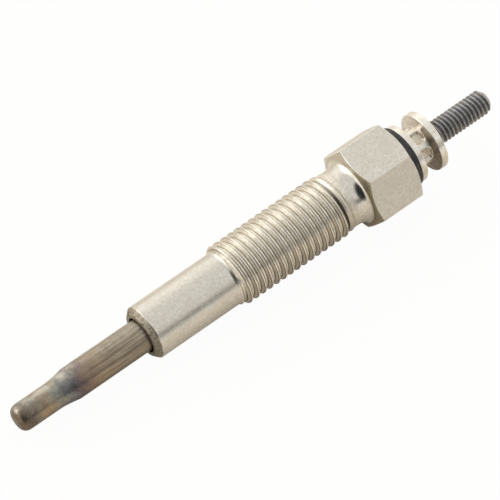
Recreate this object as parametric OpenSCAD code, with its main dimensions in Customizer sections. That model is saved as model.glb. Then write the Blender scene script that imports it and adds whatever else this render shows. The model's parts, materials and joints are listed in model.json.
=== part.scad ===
// Diesel glow plug, lying on one flat of its hexagon with the heater tip towards -X.
// Every piece is turned about the plug's own axis, measured in mm from the heater tip,
// and lay() then puts the whole plug on the ground plane z = 0.

/* [Heater] */
// Diameter of the sheath where the housing grips it
sheath_d = 5; // [4.6:0.05:5.6]
// Diameter of the swaged-down tip
tip_d = 4.16; // [3.9:0.02:4.5]
// Length of the straight thin tip
tip_len = 6.2; // [4:0.1:8]
// Length of the taper between tip and full sheath
taper_len = 3.3; // [2:0.1:5]
// Radius on the closed end of the tip
tip_round = 1.2; // [0.6:0.05:1.6]
// Wall of the sheath tube
sheath_wall = 0.75; // [0.6:0.05:0.8]
// Wall that closes the tip
tip_wall = 1; // [0.7:0.05:1.5]
// Small bevel inside the closed end
tip_bevel = 0.2; // [0.1:0.05:0.25]
// Length of heater that stands out of the housing
heater_reach = 21.85; // [18:0.05:28]
// Length of sheath pressed into the housing
sheath_grip = 20; // [16:0.5:24]
// Length of the elastic plug in the sheath mouth
seal_len = 3; // [2:0.1:4]

/* [Coils] */
// Wire of the heating coil
heat_wire_d = 0.4; // [0.3:0.02:0.5]
// Wire of the control coil
control_wire_d = 0.32; // [0.24:0.02:0.4]
// Rise of the heating coil in one turn
heat_pitch = 0.8; // [0.7:0.05:1.2]
// Rise of the control coil in one turn
control_pitch = 1; // [0.8:0.05:1.5]
// Axial length of the heating coil
heat_len = 8.4; // [5:0.1:10]
// Powder left between the coil and the sheath
coil_cover = 0.25; // [0.15:0.05:0.35]
// Powder in front of the first turn
front_web = 0.5; // [0.3:0.05:0.8]
// Room between wire and powder
coil_clear = 0.03; // [0.02:0.01:0.06]

/* [Housing] */
// Diameter of the plain nose
nose_d = 8.4; // [8:0.05:8.8]
// Length from the nose face to the foot of the thread
nose_len = 14.8; // [12:0.1:20]
// Width and depth of the sealing chamfer on the nose
seat_chamfer = 0.75; // [0.4:0.05:1.1]
// Radial gap around the sheath at the nose mouth
mouth_gap = 0.2; // [0.08:0.02:0.3]
// Depth of that gap
mouth_depth = 1.6; // [0.8:0.1:3]
// Outside diameter of the mounting thread
thread_d = 9.86; // [9.6:0.02:10]
// Pitch of the mounting thread
thread_pitch = 1.25; // [1:0.05:1.5]
// Depth of the mounting thread
thread_depth = 0.7; // [0.5:0.02:0.8]
// Length of the thread from its foot to the end of its run-out
thread_len = 20.6; // [16:0.1:26]
// Length of the chamfer that leads into the thread
thread_lead = 1.2; // [0.8:0.05:1.6]
// Length over which the last ridge fades into the neck
thread_fade = 1.3; // [0.9:0.05:1.8]
// Diameter of the neck between thread and hexagon
neck_d = 9.1; // [8.8:0.05:9.4]
// Length of that neck
neck_len = 2.7; // [1.6:0.1:4]
// Fillet between neck and hexagon
neck_fillet = 1; // [0.3:0.05:1.05]
// Width of the hexagon across its flats
hex_af = 12; // [11.6:0.1:13]
// Length of the hexagon
hex_len = 8.4; // [6:0.1:12]
// Width of the chamfer ring where it leaves a flat
hex_chamfer_w = 0.35; // [0.2:0.05:0.5]
// Slope of the chamfer on the hexagon's corners, in degrees
hex_chamfer_angle = 26; // [20:1:35]
// Width of the inner ledge that stops the sheath
ledge_w = 0.2; // [0.1:0.05:0.3]
// Diameter of the counterbore behind the hexagon
counterbore_d = 7.6; // [7:0.1:8.4]
// Depth of the counterbore
counterbore_depth = 4.5; // [4:0.1:6]

/* [Terminal] */
// Diameter of the rod's plain shank
rod_d = 3.5; // [3.2:0.05:3.6]
// Diameter of the rod inside the sheath
rod_tail_d = 2.4; // [2.1:0.05:2.8]
// Length of that thinner part which stands out of the sheath
tail_out = 1.2; // [0.6:0.1:2]
// Depth to which the rod reaches into the sheath
rod_depth = 14.4; // [10:0.1:17]
// Length of the pin that the control coil is wound on
pin_len = 3; // [2:0.1:4]
// Outside diameter of the terminal thread
stud_d = 3.84; // [3.8:0.02:4]
// Pitch of the terminal thread
stud_pitch = 0.7; // [0.5:0.05:0.8]
// Depth of the terminal thread
stud_depth = 0.38; // [0.25:0.01:0.44]
// Length of stud above the terminal face
stud_len = 11; // [8:0.1:16]
// Plain run between terminal face and first ridge
stud_start = 0.5; // [0.3:0.05:1]
// Chamfer on the stud's end
stud_chamfer = 0.65; // [0.4:0.05:0.9]
// Diameter of the insulating flange
bush_d = 9.9; // [9:0.05:10.6]
// Thickness of the insulating flange
bush_t = 1.25; // [0.8:0.05:2]
// Draft on the rim of the insulating flange
bush_draft = 0.08; // [0.04:0.02:0.2]
// Diameter of the collar's base ring
base_d = 9.3; // [8.6:0.05:9.8]
// Thickness of the base ring
base_t = 1.05; // [0.7:0.05:1.6]
// Diameter of the collar's neck
waist_d = 6; // [5.6:0.05:6.6]
// Length of the collar's neck
waist_len = 2.65; // [2:0.05:4]
// Diameter of the terminal flange
flange_d = 9.4; // [8.6:0.05:10.4]
// Thickness of the terminal flange at its rim
flange_t = 1.15; // [0.8:0.05:1.8]
// Rise of the flange's underside from rim to neck
flange_cone = 0.18; // [0.1:0.02:0.3]
// Bevel on the rims of base ring and flange
rim_bevel = 0.14; // [0.08:0.02:0.25]
// Countersink in the terminal face
countersink = 0.18; // [0.1:0.02:0.3]
// Number of crimp marks round the neck
crimp_count = 6; // [4:1:8]
// Width of a crimp mark round the neck
crimp_w = 1.9; // [1.4:0.05:2.1]
// Length of a crimp mark along the neck
crimp_len = 1.4; // [0.8:0.05:1.7]
// Depth of a crimp mark
crimp_depth = 0.35; // [0.15:0.05:0.45]
// Turn of the crimp marks from the hexagon's flats, in degrees
crimp_turn = 5; // [0:1:59]

/* [Fits] */
// Sliding room over the terminal thread
slide_clear = 0.04; // [0.02:0.01:0.1]
// Room of the seals and the bush in their seats
seat_clear = 0.02; // [0.01:0.01:0.05]
// Room left above the sealing ring
ring_room = 0.1; // [0.05:0.05:0.3]

/* [Hidden] */
$fn = 96;
turn = 360;
quarter = 90;
hex_sides = 6;
wire_sides = 6;
rings_per_turn = 12;
bend_steps = 3;
// Shares of the pitch that a ridge's top and a groove's floor take
top_share = 8;
floor_share = 4;
over = 1;

// Radii
sheath_r = sheath_d / 2;
tip_r = tip_d / 2;
sheath_bore_r = sheath_r - sheath_wall;
tip_bore_r = tip_r - sheath_wall;
nose_r = nose_d / 2;
thread_r = thread_d / 2;
neck_r = neck_d / 2;
hex_r = hex_af / 2;
hex_corner_r = hex_r / cos(turn / (2 * hex_sides));
hex_face_r = hex_r - hex_chamfer_w;
counterbore_r = counterbore_d / 2;
rod_bore_r = sheath_r - ledge_w;
rod_r = rod_d / 2;
tail_r = rod_tail_d / 2;
stud_r = stud_d / 2;
slide_r = stud_r + slide_clear;
bush_r = bush_d / 2;
base_r = base_d / 2;
waist_r = waist_d / 2;
flange_r = flange_d / 2;
heat_wire_r = heat_wire_d / 2;
control_wire_r = control_wire_d / 2;
coil_r = tip_bore_r - coil_cover - heat_wire_r;
// Straight wire runs between the rings of a turn pass a little inside the mean radius
coil_dip = coil_r * (1 - cos(turn / (2 * rings_per_turn)));
slot_in_r = coil_r - coil_dip - heat_wire_r - coil_clear;
slot_out_r = coil_r + heat_wire_r + coil_clear;
pin_r = coil_r - coil_dip - control_wire_r - coil_clear;

// Stations along the axis, from the tip
taper_start = tip_len;
taper_end = taper_start + taper_len;
nose_face = heater_reach;
sheath_end = nose_face + sheath_grip;
thread_foot = nose_face + nose_len;
thread_end = thread_foot + thread_len;
hex_front = thread_end + neck_len;
hex_back = hex_front + hex_len;
counterbore_floor = hex_back - counterbore_depth;
bush_top = hex_back + bush_t;
base_top = bush_top + base_t;
waist_top = base_top + waist_len;
flange_top = waist_top + flange_t;
stud_end = flange_top + stud_len;
seal_start = sheath_end - seal_len;
pin_end = sheath_end - rod_depth;
tail_start = pin_end + pin_len;
tail_end = sheath_end + tail_out;
ring_cord_d = counterbore_r - rod_r - 2 * seat_clear;
spigot_end = counterbore_floor + ring_cord_d + ring_room;
heat_start = tip_wall + front_web;

// How the plug lies: it tips towards the heater until a second point of it meets the ground
chamfer_rise = tan(hex_chamfer_angle);
flat_start = hex_front + hex_chamfer_w * chamfer_rise;
first_ridge = thread_foot + thread_lead;
lie_slopes = [
    (hex_r - thread_r) / (flat_start - first_ridge),
    (hex_r - nose_r) / (flat_start - nose_face - seat_chamfer),
    (hex_r - sheath_r) / (flat_start - taper_end),
    (hex_r - tip_r) / (flat_start - tip_round)
];
lie_tilt = atan(min(lie_slopes));
lift = hex_r * cos(lie_tilt) - flat_start * sin(lie_tilt);
x_low = tip_round * cos(lie_tilt) - (tip_r - tip_round) * sin(lie_tilt) - tip_round;
x_high = max(
    stud_end * cos(lie_tilt) + (stud_r - stud_chamfer) * sin(lie_tilt),
    (stud_end - stud_chamfer) * cos(lie_tilt) + stud_r * sin(lie_tilt)
);
x_mid = (x_low + x_high) / 2;

// Lays a piece that is drawn about the upright axis down on the ground plane
module lay() {
    translate([-x_mid, 0, lift]) rotate([0, -lie_tilt, 0]) rotate([0, quarter, 0]) children();
}

// A round bar or hole from one station to another
module bar(r, low, high) {
    translate([0, 0, low]) cylinder(r = r, h = high - low);
}

// Ridges of a thread drawn as rings one pitch apart: [radius, station] points up one side
function ridges(r, depth, pitch, low, count) = [
    for (k = [0 : count - 1])
        let (
            z = low + k * pitch,
            top = pitch / top_share,
            base = pitch / floor_share,
            flank = (pitch - top - base) / 2
        )
        each [
            [r, z],
            [r, z + top],
            [r - depth, z + top + flank],
            [r - depth, z + top + flank + base]
        ]
];

// Inside of the sheath as [radius, station] points, up to the station given
function cavity(high) = [
    [0, tip_wall],
    [tip_bore_r - tip_bevel, tip_wall],
    [tip_bore_r, tip_wall + tip_bevel],
    [tip_bore_r, taper_start],
    [sheath_bore_r, taper_end],
    [sheath_bore_r, high],
    [0, high]
];

// Points on a wire: [turn angle, station, lean of the section], all at the coil's mean radius
function wound(angle, low, pitch, rise) = [
    let (steps = ceil(rise / pitch * rings_per_turn))
    for (k = [0 : steps])
        [angle + turn * rise / pitch * k / steps, low + rise * k / steps, 0]
];
bend_angle = heat_wire_d / coil_r * turn / (2 * PI);
function lead_in() = concat(
    [[0, tip_wall, quarter]],
    [
        for (k = [0 : bend_steps - 1])
            let (a = quarter * k / bend_steps)
            [bend_angle * (1 - cos(a)), heat_start + heat_wire_d * sin(a), quarter - a]
    ]
);
function ring_points(p, wire_r) = [
    for (k = [0 : wire_sides - 1])
        let (
            a = turn * k / wire_sides,
            out = coil_r + wire_r * cos(a),
            back = wire_r * sin(a) * sin(p[2])
        )
        [
            out * cos(p[0]) + back * sin(p[0]),
            out * sin(p[0]) - back * cos(p[0]),
            p[1] + wire_r * sin(a) * cos(p[2])
        ]
];

// One closed wire along those points
module wire(path, wire_r) {
    rings = len(path);
    skin = [for (p = path) each ring_points(p, wire_r)];
    sides = [
        for (i = [0 : rings - 2], k = [0 : wire_sides - 1])
            let (n = (k + 1) % wire_sides, a = i * wire_sides, b = a + wire_sides)
            each [[a + k, b + k, b + n], [a + k, b + n, a + n]]
    ];
    first = [for (k = [0 : wire_sides - 1]) k];
    last = [for (k = [wire_sides - 1 : -1 : 0]) (rings - 1) * wire_sides + k];
    polyhedron(points = skin, faces = concat([first], sides, [last]), convexity = wire_sides);
}

heat_low = heat_start + heat_wire_d;
heat_high = heat_low + heat_len;
heat_turned = bend_angle + turn * heat_len / heat_pitch;
control_rise = tail_start - coil_clear - control_wire_r - heat_high;

// Steel body: plain nose, mounting thread, neck and hexagon, bored right through
module housing() {
    runs = thread_len - thread_lead - thread_fade;
    count = floor(runs / thread_pitch) + 1;
    last_top = first_ridge + count * thread_pitch;
    barrel = concat(
        [
            [0, nose_face],
            [nose_r - seat_chamfer, nose_face],
            [nose_r, nose_face + seat_chamfer],
            [nose_r, thread_foot]
        ],
        ridges(thread_r, thread_depth, thread_pitch, first_ridge, count - 1),
        [
            [thread_r, last_top - thread_pitch],
            [thread_r, last_top - thread_pitch + thread_pitch / top_share],
            [neck_r, thread_end],
            [neck_r, hex_front + over],
            [0, hex_front + over]
        ]
    );
    corner_drop = (hex_corner_r - hex_face_r) * chamfer_rise;
    color([0.8, 0.78, 0.72]) lay() difference() {
        union() {
            rotate_extrude() polygon(barrel);
            rotate_extrude() translate([neck_r, hex_front - neck_fillet]) difference() {
                square(neck_fillet);
                translate([neck_fillet, 0]) circle(r = neck_fillet);
            }
            intersection() {
                translate([0, 0, hex_front]) rotate([0, 0, turn / (2 * hex_sides)])
                    cylinder(r = hex_corner_r, h = hex_len, $fn = hex_sides);
                rotate_extrude() polygon([
                    [0, hex_front],
                    [hex_face_r, hex_front],
                    [hex_corner_r, hex_front + corner_drop],
                    [hex_corner_r, hex_back - corner_drop],
                    [hex_face_r, hex_back],
                    [0, hex_back]
                ]);
            }
        }
        bar(sheath_r, nose_face - over, sheath_end);
        bar(sheath_r + mouth_gap, nose_face - over, nose_face + mouth_depth);
        bar(rod_bore_r, sheath_end - over, hex_back + over);
        bar(counterbore_r, counterbore_floor, hex_back + over);
    }
}

// Closed heat-proof tube, swaged down towards its tip
module heater_sheath() {
    shoulder = tip_r - tip_round;
    color([0.5, 0.45, 0.37]) lay() difference() {
        union() {
            rotate_extrude() intersection() {
                square([tip_r, tip_round + over]);
                union() {
                    square([shoulder, tip_round]);
                    translate([shoulder, tip_round]) circle(r = tip_round);
                    translate([0, tip_round]) square([tip_r, over]);
                }
            }
            rotate_extrude() polygon([
                [0, tip_round],
                [tip_r, tip_round],
                [tip_r, taper_start],
                [sheath_r, taper_end],
                [sheath_r, sheath_end],
                [0, sheath_end]
            ]);
        }
        rotate_extrude() polygon(cavity(sheath_end + over));
    }
}

// Packed powder round the coils, with a channel for the wire and a socket for the rod
module magnesia_filling() {
    color([0.93, 0.92, 0.88]) lay() difference() {
        rotate_extrude() polygon(cavity(seal_start));
        translate([coil_r, 0, 0]) bar(heat_wire_r + coil_clear / 2, 0, heat_start);
        rotate_extrude() polygon([
            [slot_in_r, heat_start - heat_wire_r],
            [slot_out_r, heat_start - heat_wire_r],
            [slot_out_r, tail_start],
            [slot_in_r, tail_start]
        ]);
        bar(pin_r, pin_end, tail_start);
        bar(tail_r, tail_start, seal_start + over);
    }
}

// Front coil, joined to the closed tip
module heating_coil() {
    color([0.62, 0.6, 0.58]) lay()
        wire(concat(lead_in(), wound(bend_angle, heat_low, heat_pitch, heat_len)), heat_wire_r);
}

// Rear coil, from the front coil to the pin of the rod
module control_coil() {
    color([0.7, 0.68, 0.65]) lay()
        wire(wound(heat_turned, heat_high, control_pitch, control_rise), control_wire_r);
}

// Elastic plug that closes the mouth of the sheath
module sheath_seal() {
    color([0.25, 0.2, 0.18]) lay() difference() {
        bar(sheath_bore_r, seal_start, sheath_end);
        bar(tail_r, seal_start - over, sheath_end + over);
    }
}

// Current-carrying rod: coil pin, tail, shank and threaded terminal stud in one piece
module centre_rod() {
    ridge_low = flange_top + stud_start;
    runs = stud_len - stud_start - stud_chamfer;
    count = floor(runs / stud_pitch);
    color([0.3, 0.29, 0.3]) lay() rotate_extrude() polygon(concat(
        [
            [0, pin_end],
            [pin_r, pin_end],
            [pin_r, tail_start],
            [tail_r, tail_start],
            [tail_r, tail_end],
            [rod_r, tail_end + rod_r - tail_r],
            [rod_r, ridge_low + rod_r - stud_r]
        ],
        ridges(stud_r, stud_depth, stud_pitch, ridge_low, count),
        [
            [stud_r, ridge_low + count * stud_pitch],
            [stud_r, stud_end - stud_chamfer],
            [stud_r - stud_chamfer, stud_end],
            [0, stud_end]
        ]
    ));
}

// Elastic ring that seals the rod in the counterbore
module sealing_ring() {
    color([0.12, 0.12, 0.12]) lay() rotate_extrude()
        translate([(rod_r + counterbore_r) / 2, counterbore_floor + ring_cord_d / 2])
            circle(d = ring_cord_d);
}

// Black bush that keeps rod and collar apart from the housing
module insulating_bush() {
    color([0.16, 0.15, 0.16]) lay() difference() {
        union() {
            bar(counterbore_r - seat_clear, spigot_end, hex_back);
            translate([0, 0, hex_back])
                cylinder(r1 = bush_r, r2 = bush_r - bush_draft, h = bush_t);
        }
        bar(slide_r, spigot_end - over, bush_top + over);
    }
}

// Plated collar crimped on the shank: base ring, neck with crimp marks and terminal flange
module terminal_collar() {
    mark_low = base_top + (waist_len - flange_cone - crimp_len) / 2;
    color([0.84, 0.82, 0.76]) lay() difference() {
        rotate_extrude() polygon([
            [slide_r, bush_top],
            [base_r - rim_bevel, bush_top],
            [base_r, bush_top + rim_bevel],
            [base_r, base_top - rim_bevel],
            [base_r - rim_bevel, base_top],
            [waist_r, base_top],
            [waist_r, waist_top - flange_cone],
            [flange_r, waist_top],
            [flange_r, flange_top - rim_bevel],
            [flange_r - rim_bevel, flange_top],
            [slide_r + countersink, flange_top],
            [slide_r, flange_top - countersink],
            [slide_r, waist_top],
            [rod_r, waist_top],
            [rod_r, base_top],
            [slide_r, base_top]
        ]);
        for (k = [0 : crimp_count - 1])
            rotate([0, 0, crimp_turn + turn * k / crimp_count])
                translate([waist_r - crimp_depth, -crimp_w / 2, mark_low])
                    cube([crimp_depth + over, crimp_w, crimp_len]);
    }
}

housing();
heater_sheath();
magnesia_filling();
heating_coil();
control_coil();
sheath_seal();
centre_rod();
sealing_ring();
insulating_bush();
terminal_collar();
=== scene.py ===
"""A diesel glow plug on a pale floor: its turned pieces, their finishes, the studio and the camera."""
import json
import logging
import math
from dataclasses import dataclass
from enum import Enum

import bpy
from mathutils import Matrix, Vector


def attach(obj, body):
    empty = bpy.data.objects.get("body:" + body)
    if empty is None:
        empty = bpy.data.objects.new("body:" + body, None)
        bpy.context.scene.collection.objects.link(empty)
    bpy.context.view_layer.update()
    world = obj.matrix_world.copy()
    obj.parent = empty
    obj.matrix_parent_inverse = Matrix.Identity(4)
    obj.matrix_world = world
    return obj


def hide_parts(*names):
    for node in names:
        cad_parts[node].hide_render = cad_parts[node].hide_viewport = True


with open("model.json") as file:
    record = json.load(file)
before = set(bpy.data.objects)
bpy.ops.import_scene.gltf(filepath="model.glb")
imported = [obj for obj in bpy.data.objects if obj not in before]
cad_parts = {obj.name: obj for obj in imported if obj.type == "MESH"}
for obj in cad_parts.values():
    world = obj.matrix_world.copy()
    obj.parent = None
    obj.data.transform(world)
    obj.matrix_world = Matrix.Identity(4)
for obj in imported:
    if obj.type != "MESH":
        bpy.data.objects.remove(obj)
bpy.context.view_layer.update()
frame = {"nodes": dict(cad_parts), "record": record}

LOG = logging.getLogger("glow_plug")

MM = 0.001
FULL_TURN = 2.0 * math.pi
ROUND_STEPS = 120

# What a mesh tells its finish, point by point or face by face
GROOVE = "groove"
EDGE = "edge"
FLAT = "flat"
CRIMP = "crimp"

Socket = bpy.types.NodeSocket
Colour = tuple[float, float, float, float]
Range = tuple[float, float]
Profile = list[tuple[float, float]]


def screen_colour(red: float, green: float, blue: float) -> Colour:
    """Turns a colour as seen on a screen into the linear one that a shader takes.

    Args:
        red: Red from 0 to 255.
        green: Green from 0 to 255.
        blue: Blue from 0 to 255.

    Returns:
        The linear colour with full alpha.
    """
    shares = [value / 255.0 for value in (red, green, blue)]
    linear = [s / 12.92 if s <= 0.04045 else ((s + 0.055) / 1.055) ** 2.4 for s in shares]
    return linear[0], linear[1], linear[2], 1.0


def ease(value: float, low: float, high: float) -> float:
    """Rises smoothly from 0 at low to 1 at high.

    Args:
        value: The place to look at.
        low: Where the rise starts.
        high: Where the rise ends.

    Returns:
        A share from 0 to 1.
    """
    share = min(1.0, max(0.0, (value - low) / (high - low)))
    return share * share * (3.0 - 2.0 * share)


def hold(piece: bpy.types.Object) -> None:
    """Selects one piece alone and makes it the active one.

    Args:
        piece: The piece to work on.
    """
    bpy.ops.object.select_all(action="DESELECT")
    piece.select_set(True)
    bpy.context.view_layer.objects.active = piece


# The plug's axis and the bench on which its pieces are turned


class ThreadEnd(Enum):
    """How a screw thread ends on the rod that it is cut on."""

    CHAMFER = "chamfer"
    FADE = "fade"


@dataclass(frozen=True)
class Corner:
    """A corner of a turned profile, in millimetres.

    Attributes:
        r: Distance from the axis.
        s: Station along the axis, from the heater's tip.
        rounding: How far back from the corner its rounding starts.
    """

    r: float
    s: float
    rounding: float = 0.0


@dataclass(frozen=True)
class PlugAxis:
    """The line that all turned pieces share.

    Attributes:
        tip: The heater tip's point in the row frame, in metres.
        turn: The turn about Y that lays the bench's upright axis along the plug.
    """

    tip: Vector
    turn: float

    @classmethod
    def from_record(cls, record: dict, heater_reach: float) -> "PlugAxis":
        """Finds the axis from the record's mounts.

        Args:
            record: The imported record.
            heater_reach: How far the heater stands out of the housing's nose, in millimetres.

        Returns:
            The plug's axis.
        """
        mounts = {mount["name"]: mount for mount in record["mounts"]}
        along = Vector(mounts["terminal_stud"]["axis"])
        nose_face = Vector(mounts["seat_cone"]["pos_m"])
        return cls(nose_face - along * heater_reach * MM, math.atan2(along.x, along.z))

    def lay(self, piece: bpy.types.Object) -> None:
        """Lays a piece from the bench, in millimetres, on the plug's axis, in metres.

        Args:
            piece: The piece, turned about the bench's upright axis.
        """
        hold(piece)
        piece.scale = (MM, MM, MM)
        piece.rotation_euler = (0.0, self.turn, 0.0)
        piece.location = self.tip
        bpy.ops.object.transform_apply(location=True, rotation=True, scale=True)


class Lathe:
    """The hand work that the turned pieces share. It is done in millimetres, about the upright axis.

    Attributes:
        own_room: Share of an edge that a rounding may take.
        shared_room: That share where the edge's other corner is rounded too.
        strip: Where the strip beside a rounding ends, in roundings from the corner.
        least_spare: Length that an edge keeps to spare between its strips, or else it gets none.
        seam: Distance at which points merge.
        sliver: Length below which an edge is dissolved.
    """

    own_room = 0.95
    shared_room = 0.48
    strip = 1.5
    least_spare = 0.1
    seam = 0.0008
    sliver = 0.0004

    @staticmethod
    def hollow(start: Corner, rise: float, run: float, turn: float, steps: int) -> list[Corner]:
        """Draws a hollow arc that leaves a cylinder and climbs away from the axis.

        Args:
            start: Where the arc leaves the cylinder.
            rise: The arc's radius across the axis.
            run: The arc's radius along the axis.
            turn: How far the arc turns, in radians.
            steps: Edges in the arc.

        Returns:
            The arc's corners.
        """
        angles = [turn * step / steps for step in range(steps + 1)]
        return [Corner(start.r + rise * (1.0 - math.cos(a)), start.s + run * math.sin(a)) for a in angles]

    @classmethod
    def rounded(cls, corners: list[Corner], arc_steps: int = 5) -> Profile:
        """Rounds the corners of a profile.

        A narrow strip beside each rounding keeps the shading of long faces plain.

        Args:
            corners: The profile's corners in order.
            arc_steps: Edges in each rounding.

        Returns:
            The profile's points as radius and station.
        """
        points: Profile = []
        for index, corner in enumerate(corners):
            if corner.rounding <= 0.0:
                points.append((corner.r, corner.s))
                continue
            here = Vector((corner.r, corner.s))
            ends = []
            strips = []
            for other in (corners[index - 1], corners[index + 1]):
                edge = Vector((other.r, other.s)) - here
                away = edge.normalized()
                room = cls.shared_room if other.rounding > 0.0 else cls.own_room
                ends.append(here + away * min(corner.rounding, edge.length * room))
                spare = edge.length - cls.strip * (corner.rounding + other.rounding)
                strip = here + away * corner.rounding * cls.strip
                strips.append([strip] if spare > cls.least_spare else [])
            start, stop = ends
            shares = [step / arc_steps for step in range(arc_steps + 1)]
            arc = [start * (1 - t) ** 2 + here * 2 * t * (1 - t) + stop * t ** 2 for t in shares]
            points += [(point.x, point.y) for point in strips[0] + arc + strips[1]]
        return points

    @staticmethod
    def chain(name: str, points: Profile) -> bpy.types.Object:
        """Draws a profile: a plane merged to one point, then extruded from point to point.

        Args:
            name: The new piece's name.
            points: The profile as radius and station.

        Returns:
            The piece, still only a chain of edges.
        """
        bpy.ops.object.select_all(action="DESELECT")
        bpy.ops.mesh.primitive_plane_add(size=1.0, location=(0.0, 0.0, 0.0))
        piece = bpy.context.object
        piece.name = name
        piece.data.name = name
        bpy.ops.object.mode_set(mode="EDIT")
        bpy.ops.mesh.select_mode(type="VERT")
        bpy.ops.mesh.select_all(action="SELECT")
        bpy.ops.mesh.merge(type="CENTER")
        bpy.ops.transform.translate(value=(points[0][0], 0.0, points[0][1]))
        for (r_from, s_from), (r_to, s_to) in zip(points, points[1:]):
            move = {"value": (r_to - r_from, 0.0, s_to - s_from)}
            bpy.ops.mesh.extrude_region_move(TRANSFORM_OT_translate=move)
        bpy.ops.object.mode_set(mode="OBJECT")
        return piece

    @staticmethod
    def spin(piece: bpy.types.Object, steps: int = ROUND_STEPS) -> None:
        """Turns a chain once round the axis.

        Args:
            piece: The chain.
            steps: Faces round the axis.
        """
        bpy.ops.object.mode_set(mode="EDIT")
        bpy.ops.mesh.select_all(action="SELECT")
        bpy.ops.mesh.spin(steps=steps, angle=FULL_TURN, center=(0.0, 0.0, 0.0), axis=(0.0, 0.0, 1.0))
        bpy.ops.object.mode_set(mode="OBJECT")
        Lathe.close(piece)

    @staticmethod
    def close(piece: bpy.types.Object) -> None:
        """Merges the seams and poles of a piece and turns its faces outwards.

        Args:
            piece: The piece.
        """
        hold(piece)
        bpy.ops.object.mode_set(mode="EDIT")
        bpy.ops.mesh.select_all(action="SELECT")
        bpy.ops.mesh.remove_doubles(threshold=Lathe.seam)
        bpy.ops.mesh.dissolve_degenerate(threshold=Lathe.sliver)
        bpy.ops.mesh.select_all(action="SELECT")
        bpy.ops.mesh.normals_make_consistent(inside=False)
        bpy.ops.object.mode_set(mode="OBJECT")

    @staticmethod
    def join(piece: bpy.types.Object, other: bpy.types.Object) -> None:
        """Joins another piece to a piece along the rim that they share.

        Args:
            piece: The piece that stays.
            other: The piece that goes into it.
        """
        hold(piece)
        other.select_set(True)
        bpy.ops.object.join()
        Lathe.close(piece)

    @staticmethod
    def smooth(piece: bpy.types.Object, angle: float) -> None:
        """Shades a piece smooth where its faces meet at less than an angle.

        Args:
            piece: The piece.
            angle: The angle in degrees.
        """
        hold(piece)
        bpy.ops.object.shade_smooth_by_angle(angle=math.radians(angle))


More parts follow.
